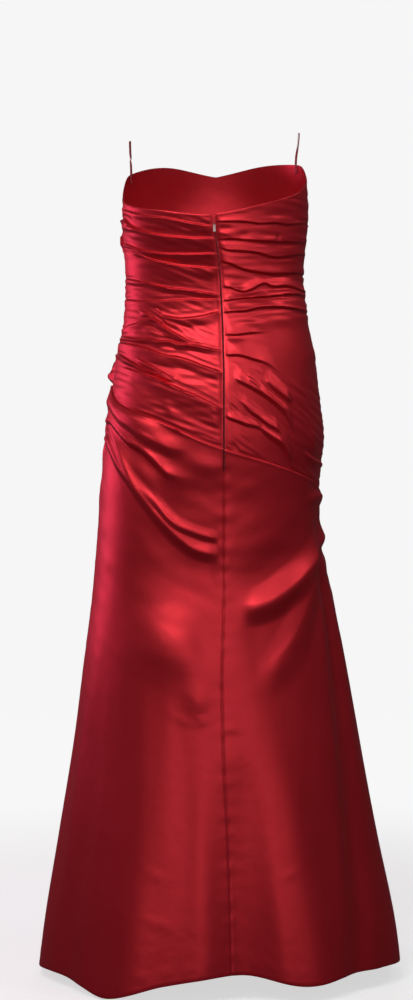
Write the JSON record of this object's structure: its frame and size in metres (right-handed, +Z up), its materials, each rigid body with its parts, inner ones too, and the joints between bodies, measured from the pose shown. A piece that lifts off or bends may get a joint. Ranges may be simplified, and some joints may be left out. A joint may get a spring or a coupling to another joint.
{
  "type": "evening gown",
  "caption": "Strapless floor-length satin evening gown with a ruched bodice, slanting dropped waist, A-line skirt and centre-back zip.",
  "frame": {"origin": "centre of the wearer's waist, which is the mount worn_on_torso", "axes": "+Z up along the wearer, the gown's back faces -Y, and +X is the wearer's right"},
  "size_m": [0.59, 0.5245, 1.382],
  "materials": {
    "satin": "red duchess satin, glossy along the folds",
    "zip_tape": "woven polyester tape and moulded coil in dull red",
    "zip_metal": "die-cast slider with baked red enamel",
    "pull_metal": "pale worn enamel over die-cast metal",
    "ribbon": "narrow double-faced satin ribbon"
  },
  "bodies": {
    "gown": {"bodice_front": "satin", "bodice_back_left": "satin", "bodice_back_right": "satin", "skirt_front": "satin", "skirt_back_left": "satin", "skirt_back_right": "satin", "zip_tape_left": "zip_tape", "zip_tape_right": "zip_tape", "zip_coil": "zip_tape", "zip_slider": "zip_metal", "hanger_loop_left": "ribbon", "hanger_loop_right": "ribbon"},
    "zip_pull": {"zip_pull": "pull_metal"}
  },
  "joints": [
    {"name": "zip_pull_hinge", "type": "hinge", "parent": "gown", "child": "zip_pull", "pos_m": [-0.00316, -0.1102, 0.081], "axis": [-1, 0, 0], "range_deg": [0, 170]}
  ]
}
